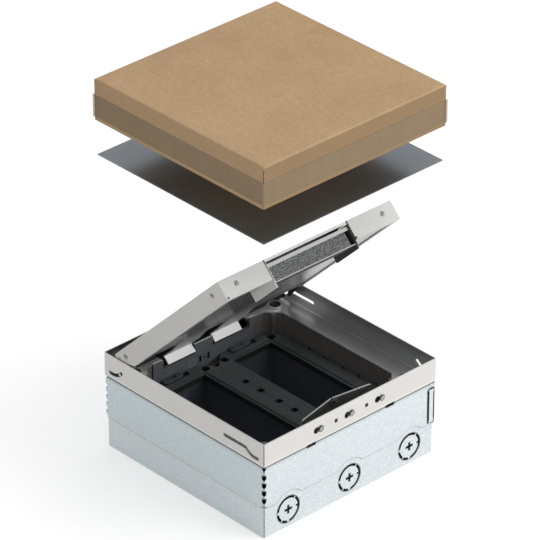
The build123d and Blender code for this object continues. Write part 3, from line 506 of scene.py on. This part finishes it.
# Painted highlights along the frame's lower fold, on the tongues' lips, the guides' top edges and
# the pins' ends; painted shade under the frame's hem, in its slots and on the lid's heel.
lower_fold, frame_hem_shade = band(0.0886, 0.0004), below(0.0871)
slot_wall_shade = both(nearer(0.1213), below(0.1135))
lid_heel_shade, tongue_lips = below(0.106), below(0.0912)
guide_top, pin_ends = above(0.1012), farther(0.1203)
print("lid and frame measured")

# %% Finish: stainless steel
level_roll, no_roll = (1, 1, 5), (1, 1, 1)


def steel(name, dark, light, rough, roll=no_roll, shine=0.6, patches=(), region=None):
    """Rolled sheet. A region is a rule with a roughness and a metallic share of its own."""
    made = start_finish(name)
    line = grain(made, 1100.0, 2.0, roll)
    cloud = grain(made, 14.0, 2.0)
    mask = (0.7 * line + 0.5 * cloud - 0.1).clamped()
    colour = lay_patches(made, mix_tones(made, mask, dark, light), patches)
    if region:
        rule, region_rough, region_shine = region
        chosen = rule(*spot(made))
        rough = rough + (region_rough - rough) * chosen
        shine = shine + (region_shine - shine) * chosen
    close_finish(made, colour, rough + 0.05 * line, relief(made, line, 0.004, 0.00002),
                 Metallic=shine)


# Painted highlights along the frame's inner fold and on the tongues and their lips, and painted
# shade on the base plate near the hinge, which is also duller there.
inner_wall, fold_highlight, pin_end_highlight = (0.70, 0.705, 0.70), (0.98, 0.98, 0.97), (0.85, 0.85, 0.84)
dull_plate_shade, tongue_highlight, lip_highlight = (0.16, 0.165, 0.165), (0.84, 0.84, 0.83), (0.84, 0.84, 0.825)
steel("frame_steel", (0.72, 0.71, 0.685), (0.86, 0.85, 0.82), 0.45, level_roll,
      region=(inner_side, 0.26, 0.86), patches=[
    (lower_fold, edge_highlight, 1.0), (frame_hem_shade, shade, 0.5), (slot_wall_shade, deep_shade, 0.9),
    (inner_side, inner_wall, 0.85), (inner_fold, fold_highlight, 0.7), (behind_lid, shade, 0.8),
    (groove_end_shade, deep_shade, 0.9), (pilot_hole_shade, deep_shade, 0.9)])
steel("lid_steel", (0.59, 0.582, 0.56), (0.71, 0.702, 0.675), 0.42, level_roll, patches=[
    (lid_heel_shade, deep_shade, 0.97), (outlet_slit_shade, deep_shade, 0.95)])
steel("stainless_steel", (0.70, 0.69, 0.67), (0.84, 0.83, 0.80), 0.42, level_roll, patches=[
    (flap_underside_shade, deep_shade, 0.9)])
steel("polished_steel", (0.42, 0.43, 0.435), (0.52, 0.53, 0.535), 0.24, shine=0.88,
      region=(near_hinge, 0.45, 0.4), patches=[
    (near_hinge, dull_plate_shade, 0.9), (tongue_arms, tongue_highlight, 0.9), (tongue_lips, lip_highlight, 1.0)])
# The guides' dark tone is painted shade on their faces, with a painted highlight along their top
# edges.
steel("guide_steel", (0.13, 0.135, 0.13), (0.19, 0.195, 0.19), 0.42, patches=[
    (guide_top, edge_highlight, 1.0)])
steel("cheek_steel", (0.58, 0.565, 0.53), (0.78, 0.765, 0.73), 0.40, level_roll)
# The hinge ears and pins are near black, painted shade for the dark slots they sit in, and their
# outer ends get a painted highlight.
steel("pin_steel", (0.03, 0.03, 0.032), (0.05, 0.05, 0.053), 0.45, shine=0.5, patches=[
    (pin_ends, pin_end_highlight, 1.0)])
steel("screw_steel", (0.34, 0.34, 0.33), (0.50, 0.50, 0.48), 0.35, patches=[
    (screw_shank_shade, deep_shade, 0.95)])

# %% [markdown]
# ## Studs
# The three studs in the keyholes are small discs with a near-black rim, painted shade for the
# keyhole round each head. The rim is what lies outside a circle about each of the three
# centres. They are one piece in the CAD model, so a rounded division finds the nearest centre,
# which is shorter than three circles.

# %% Finish: studs
stud_pitch, stud_height, stud_face = 0.043, 0.100, 0.0029
made = start_finish("stud_steel")
x, y, z = spot(made)
face = disc(from_row(x, stud_pitch), z - stud_height, stud_face)
haze = grain(made, 900.0, 2.0)
head = mix_tones(made, haze, (0.34, 0.345, 0.34), (0.48, 0.485, 0.48))
close_finish(made, mix_tones(made, face, (0.04, 0.04, 0.04), head), 0.4 + 0.1 * haze, Metallic=0.5)

# %% [markdown]
# ## Threads
# The levelling sleeves and screws carry an M8 thread that the solids leave out, because a
# modelled helix has very many faces. A sawtooth of the height, turned with the angle round
# each screw, gives the bump of a real helix, and the colour follows it, with painted shade in
# the roots and painted highlights on the crests. The bore of each sleeve is in shade.

# %% Finish: threads
sleeve_place, sleeve_bore, thread_pitch = 0.099, 0.0066, 0.00125
made = start_finish("zinc_steel")
x, y, z = spot(made)
across, along = abs(x) - sleeve_place, abs(y) - sleeve_place
angle = x.maths("ARCTAN2", along, across)
cycle = z / thread_pitch + angle / math.tau
tooth = 2 * abs(cycle.maths("FRACT", cycle) - 0.5)
haze = grain(made, 600.0, 2.0)
# The colour follows the thread: painted shade in its roots and painted highlights on its crests.
colour = mix_tones(made, 0.6 * tooth + 0.4 * haze, (0.38, 0.38, 0.37), (0.74, 0.74, 0.73))
colour = mix_tones(made, 0.9 * disc(across, along, sleeve_bore), colour, deep_shade)
close_finish(made, colour, 0.3 + 0.1 * haze, relief(made, tooth, 0.8, 0.0006), Metallic=0.7)

# %% [markdown]
# ## The hinge plate
# The plate at the rear of the shaft is dark, slightly blue sheet. It has bare sheared top
# edges with a painted highlight, one faint pressed ring, and painted shade on its back where it
# shows through its slots, each of them a patch.

# %% Finish: hinge plate
ring_x, ring_z, ring_outer, ring_inner = -0.021, 0.069, 0.0046, 0.0038
# The sheared top edges are bare steel with a painted highlight.
plate_top_highlight = above(0.0906)


def pressed_ring(x, y, z):
    """The faint ring that is pressed into the plate, left of its slots."""
    across, up = x - ring_x, z - ring_z
    return disc(across, up, ring_outer) - disc(across, up, ring_inner)


def slot_hollow_shade(x, y, z):
    """Painted shade on the back of the plate, which is seen through its slots."""
    return (abs(y - 0.0973) < 0.0006) * (z > 0.060)


made = start_finish("blued_plate")
haze = grain(made, 300.0, 3.0)
colour = mix_tones(made, haze, (0.150, 0.162, 0.178), (0.225, 0.242, 0.262))
colour = lay_patches(made, colour, [
    (pressed_ring, (0.75, 0.76, 0.76), 0.35), (slot_hollow_shade, deep_shade, 0.9),
    (plate_top_highlight, (0.85, 0.86, 0.86), 1.0)])
close_finish(made, colour, 0.40 + 0.1 * haze, relief(made, haze, 0.1, 0.0002), Metallic=0.4)

# %% [markdown]
# ## Moulded plastic
# The shaft, the supports, the trays and the latches are moulded in dark plastic, with a fine
# matt texture from the spark-eroded mould. Each gets its own tone, and a shallow bump breaks
# up the highlight. The shaft's flange ends in a grey edge that shows as a groove under the
# frame. The pockets and the peg holes of the supports are deep, and painted shade makes them
# nearly black. Painted shade also fills the groove's notches, the shaft's wall behind the
# hinge plate's slots, the latches' feet, the back of the outlet frame and thin lines down the
# trays, and painted light lightens the floors of the trays.

# %% Places on the plastic pieces
def behind_slots_shade(x, y, z):
    """Painted shade on the shaft's rear wall where it shows through the slots of the hinge plate.
    """
    return (y > 0.0972) * (z < 0.080) * (abs(x) < 0.03)


def groove_notch_shade(x, y, z):
    """Painted shade in the two open notches in the groove under the frame's front wall."""
    return (abs(abs(x) - notch_middle) < notch_half) * (y < -0.1192)


def tray_depth(x, y, z):
    """From 0 at the mouth of a tray to 1 at its floor, where painted light lightens the plastic."""
    tray_mouth, per_depth = 0.056, 21.0
    return (tray_mouth - z) * per_depth


def tray_rib_shade(x, y, z):
    """Thin lines of painted shade down the walls of a tray, 18.5 mm apart, for ribs. They slant
    over its floor.
    """
    return abs(from_row(x + y, 0.0185)) < 0.0003


def frame_back_shade(x, y, z):
    """Painted shade on the outlet frame behind its front face."""
    return down_lid(x, y, z) < 0.2258


flange_edge = farther(0.1192)
# Painted shade in the supports' peg holes and pocket floors and at the latches' feet.
peg_hole_shade = both(below(0.0643), outside(0.0475, 0.0303))
pocket_floor_shade, latch_foot_shade = below(0.0626), below(0.0655)
print("plastic pieces measured")

# %% Finish: moulded plastic
def moulded(name, dark, light, rough=0.55, texture=1400.0, patches=()):
    """Plastic with the fine pebbled texture of its mould, a little cloudy in tone."""
    made = start_finish(name)
    pebble = grain(made, texture, 3.0)
    cloud = grain(made, 30.0, 2.0)
    mask = (0.6 * cloud + 0.9 * pebble - 0.25).clamped()
    colour = lay_patches(made, mix_tones(made, mask, dark, light), patches)
    close_finish(made, colour, rough + 0.15 * pebble, relief(made, pebble, 0.25, 0.0002),
                 Specular_IOR_Level=0.4)


# The tray floors get painted light that lightens them towards the bottom.
groove_grey, tray_floor_light = (0.88, 0.90, 0.91), (0.17, 0.19, 0.22)
moulded("dark_plastic", (0.080, 0.074, 0.070), (0.215, 0.200, 0.190), 0.6, 700.0, [
    (flange_edge, groove_grey, 1.0), (groove_notch_shade, deep_shade, 1.0), (behind_slots_shade, deep_shade, 1.0)])
moulded("cheek_plastic", (0.040, 0.038, 0.036), (0.100, 0.095, 0.090))
moulded("support_plastic", (0.052, 0.059, 0.060), (0.092, 0.102, 0.103), patches=[
    (peg_hole_shade, deep_shade, 0.92), (pocket_floor_shade, deep_shade, 0.9)])
moulded("tray_plastic", (0.038, 0.045, 0.056), (0.066, 0.078, 0.095), patches=[
    (tray_depth, tray_floor_light, 0.8), (tray_rib_shade, deep_shade, 0.5)])
moulded("latch_plastic", (0.050, 0.056, 0.057), (0.088, 0.097, 0.098), patches=[
    (latch_foot_shade, deep_shade, 0.8)])
moulded("flap_plastic", (0.66, 0.66, 0.64), (0.80, 0.80, 0.77), patches=[
    (frame_back_shade, deep_shade, 0.9)])

# %% [markdown]
# ## Foam
# The seal in the cord outlet is open-cell foam: grey, with dark pores and pale cell walls a
# millimetre or so across. A noise gives the speckle, and the same mask presses the pores in.

# %% Finish: foam
made = start_finish("foam")
flecks = grain(made, 1050.0, 2.0, rough=0.7)
mask = (8.0 * flecks - 3.55).clamped()
close_finish(made, mix_tones(made, mask, (0.05, 0.05, 0.05), (0.44, 0.445, 0.45)), 0.9,
             relief(made, mask, 0.6, 0.0006), Specular_IOR_Level=0.15)

# %% [markdown]
# ## The protection sheet
# The loose sheet is bright zinc-coated steel like the box, but it hangs under the cardboard
# and mirrors its dark hollow. A smooth metal with little colour shows that best.

# %% Finish: protection sheet
made = start_finish("galvanised_sheet")
sparkle = grain(made, 900.0, 3.0)
close_finish(made, mix_tones(made, sparkle, (0.31, 0.345, 0.375), (0.35, 0.388, 0.422)),
             0.24 + 0.02 * sparkle, relief(made, sparkle, 0.008, 0.00001), Metallic=0.85)

# %% [markdown]
# ## Cardboard and tape
# Kraft board is tan with short darker fibres and small pale specks. Its flutes print through
# as faint ridges, 4 mm apart, that run over the top and down the left and right walls. They
# are a sine of the distance along Y, which shifts the tone a little and feeds the bump. The
# front wall is darker than the top, painted shade, and the left wall a little paler, painted
# light, so each has a patch.
# The tape round it is clear and a little brown, so the board and its flutes show through.

# %% Finish: cardboard
cover_face = 0.1242  # just behind the outer faces of the cover
flute_pitch = 0.004


def flutes(made):
    """Ridges along X that follow each other along Y, from -1 to 1."""
    y = spot(made)[1]
    return y.maths("SINE", y * (math.tau / flute_pitch))


# Painted shade darkens the front wall and painted light makes the left wall paler.
def cover_front_shade(x, y, z):
    return y < -cover_face


def cover_left_light(x, y, z):
    return x < -cover_face


made = start_finish("cardboard")
fibre = grain(made, 420.0, 6.0, (1, 0.4, 1), 0.75)
speck = grain(made, 1300.0, 2.0)
cloud = grain(made, 14.0, 2.0)
ridge = flutes(made)
mask = (1.1 * fibre + 0.9 * speck + 0.5 * cloud + 0.045 * ridge - 0.80).clamped()
colour = mix_tones(made, mask, (0.350, 0.227, 0.122), (0.595, 0.408, 0.238))
colour = lay_patches(made, colour, [
    (cover_front_shade, (0.26, 0.17, 0.09), 0.58), (cover_left_light, (0.80, 0.56, 0.34), 0.2)])
close_finish(made, colour, 0.82, relief(made, fibre + 0.15 * ridge, 0.2, 0.0003),
             Specular_IOR_Level=0.2)

# %% Finish: tape
made = start_finish("tape")
ripple = grain(made, 90.0, 2.0, (1, 1, 0.3))
ridge = flutes(made)
mask = (ripple + 0.1 * ridge).clamped()
close_finish(made, mix_tones(made, mask, (0.45, 0.330, 0.190), (0.55, 0.410, 0.245)),
             0.28 + 0.1 * ripple, relief(made, ripple + 0.2 * ridge, 0.05, 0.0002), Alpha=0.5)

# %% [markdown]
# ## Dress the CAD pieces
# Each solid names a material slot in the record. The finishes above bear the same names, so
# one loop dresses every piece. A few pieces get a finish of their own, made for one feature.

# %% Dress the CAD pieces
slot_of = {entry["node"]: entry["material_slot"] for entry in frame["record"]["subparts"]}
slot_of.update(
    collar="collar_steel", cassette_frame="frame_steel", lid_casing="lid_steel",
    protection_sheet="galvanised_sheet", keyhole_studs="stud_steel", lid_screws="screw_steel",
    hinge_ear_left="pin_steel", hinge_ear_right="pin_steel", covering_tray="tray_steel",
    outlet_cheek_right="cheek_plastic")
for name, piece in frame["nodes"].items():
    piece.data.materials.clear()
    piece.data.materials.append(finishes[slot_of[name]])
print("dressed", len(frame["nodes"]), "pieces")

# %% [markdown]
# ## The foam seal
# The seal is a soft block in the lid's tilted outlet. It could be drawn anew, but the CAD
# block already has its outline. A copy of that block is merged, its edges are rounded and its
# faces divided.

# %% Make the foam seal
def soft_copy(node, name, finish, rounding, cuts):
    """A softened copy of a CAD block, with its edges rounded and its faces divided."""
    solid = bmesh.new()
    solid.from_mesh(frame["nodes"][node].data)
    bmesh.ops.remove_doubles(solid, verts=solid.verts, dist=1e-6)
    bmesh.ops.dissolve_limit(solid, angle_limit=0.01, verts=solid.verts, edges=solid.edges)
    bmesh.ops.bevel(solid, geom=solid.edges[:], offset=rounding, affect="EDGES", segments=3,
                    profile=0.5, material=-1)
    bmesh.ops.triangulate(solid, faces=solid.faces)
    bmesh.ops.subdivide_edges(solid, edges=solid.edges[:], cuts=cuts, use_grid_fill=True)
    bmesh.ops.recalc_face_normals(solid, faces=solid.faces)
    mesh = bpy.data.meshes.new(name)
    solid.to_mesh(mesh)
    solid.free()
    mesh.materials.append(finishes[finish])
    piece = bpy.data.objects.new(name, mesh)
    bpy.context.scene.collection.objects.link(piece)
    print(name, "has", len(mesh.polygons), "faces")
    return piece


foam = soft_copy("outlet_foam", "foam_seal", "foam", rounding=0.0008, cuts=3)
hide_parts("outlet_foam")
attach(foam, "outlet")

# %% [markdown]
# ## The floor
# The floor is one large disc just under the box, wide enough to hold the whole shadow. Its
# colour is a little darker than white, and a faint glow that only the camera and the mirrors
# see lifts it to white where nothing shades it. So the shadow stays, and no more light falls
# on the object.

# %% Make the floor
floor_radius, floor_gap = 6.0, 0.0003
ground = bmesh.new()
bmesh.ops.create_circle(ground, cap_ends=True, radius=floor_radius, segments=96)
bmesh.ops.translate(ground, verts=ground.verts, vec=(0, 0, -floor_gap))
ground_mesh = bpy.data.meshes.new("studio_floor")
ground.to_mesh(ground_mesh)
ground.free()
floor = bpy.data.objects.new("studio_floor", ground_mesh)
bpy.context.scene.collection.objects.link(floor)

made = start_finish("studio_white")
rays = made.node("ShaderNodeLightPath")
glow = 0.32 * rays.beside("Is Camera Ray") + 0.05 * rays.beside("Is Glossy Ray")
glow_grey = made.node("ShaderNodeCombineColor", None, glow, glow, glow)
close_finish(made, (0.90, 0.90, 0.90), 0.9, Specular_IOR_Level=0.0,
             Emission_Color=glow_grey, Emission_Strength=1.0)
floor.data.materials.append(finishes["studio_white"])

# %% [markdown]
# ## The world
# The world lights the object from all sides with a strength of 0.38. To the camera it has a
# strength of 1, which is white, and what a mirror shows of it lies in between.

# %% Make the world
light_level = 0.38
world = bpy.data.worlds.new("studio_world")
bpy.context.scene.world = world
world.use_nodes = True
world.node_tree.nodes.clear()
sky = Finish(world.node_tree)
rays = sky.node("ShaderNodeLightPath")
seen = rays.beside("Is Camera Ray")
mirrored = rays.beside("Is Glossy Ray")
passed = rays.beside("Is Transmission Ray")
white = (seen + 0.3 * mirrored + passed).clamped()
plain_light = sky.node("ShaderNodeBackground", None, Color=(1, 1, 1),
                       Strength=light_level + (1 - light_level) * white)
sky.node("ShaderNodeOutputWorld", None, plain_light)
print("world lights with", light_level)
